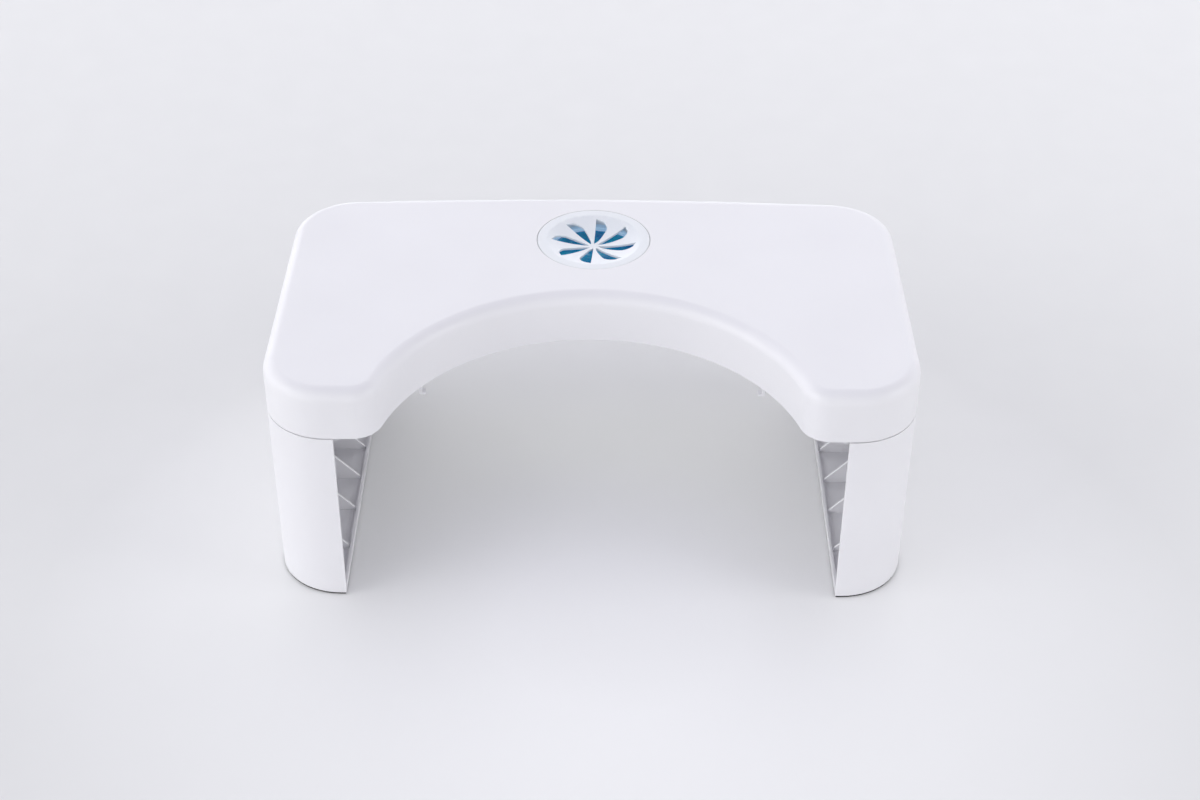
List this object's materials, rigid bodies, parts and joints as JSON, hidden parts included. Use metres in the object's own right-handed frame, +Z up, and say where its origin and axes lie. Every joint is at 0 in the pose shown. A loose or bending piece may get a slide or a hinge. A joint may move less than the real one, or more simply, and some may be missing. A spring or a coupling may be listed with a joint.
{
  "type": "folding toilet step stool",
  "caption": "Low white step stool with an arched front cut-out, two hollow fold-in legs on pins, rubber soles and a round vented scent box set in its top.",
  "frame": {"origin": "on the floor under the middle of the stool's bounding box", "axes": "+X to the stool's right along its width, -Y to the arched front, +Z up"},
  "size_m": [0.43, 0.252, 0.1695],
  "materials": {
    "shell": "satin white moulded polypropylene",
    "scent_box": "smooth cool white plastic",
    "tray": "thin milky plastic",
    "gel": "wet blue fragrance gel",
    "pin": "plain steel",
    "pad": "dull dark rubber"
  },
  "bodies": {
    "top": {"top_shell": "shell"},
    "left_leg": {"left_leg": "shell", "left_front_pin": "pin", "left_rear_pin": "pin", "left_front_pad": "pad", "left_rear_pad": "pad"},
    "right_leg": {"right_leg": "shell", "right_front_pin": "pin", "right_rear_pin": "pin", "right_front_pad": "pad", "right_rear_pad": "pad"},
    "scent_box": {"scent_cup": "scent_box", "scent_tray": "tray", "scent_gel": "gel"},
    "scent_lid": {"scent_lid": "scent_box"}
  },
  "joints": [
    {"name": "left_leg_fold", "type": "hinge", "parent": "top", "child": "left_leg", "pos_m": [-0.1685, 0, 0.128], "axis": [0, -1, 0], "range_deg": [0, 90]},
    {"name": "right_leg_fold", "type": "hinge", "parent": "top", "child": "right_leg", "pos_m": [0.1685, 0, 0.128], "axis": [0, 1, 0], "range_deg": [0, 90]},
    {"name": "scent_box_lift", "type": "slide", "parent": "top", "child": "scent_box", "axis": [0, 0, 1], "range_m": [0, 0.045]},
    {"name": "scent_lid_twist", "type": "hinge", "parent": "scent_box", "child": "scent_lid", "pos_m": [0, 0.064, 0.1695], "axis": [0, 0, 1], "range_deg": [0, 40]}
  ]
}
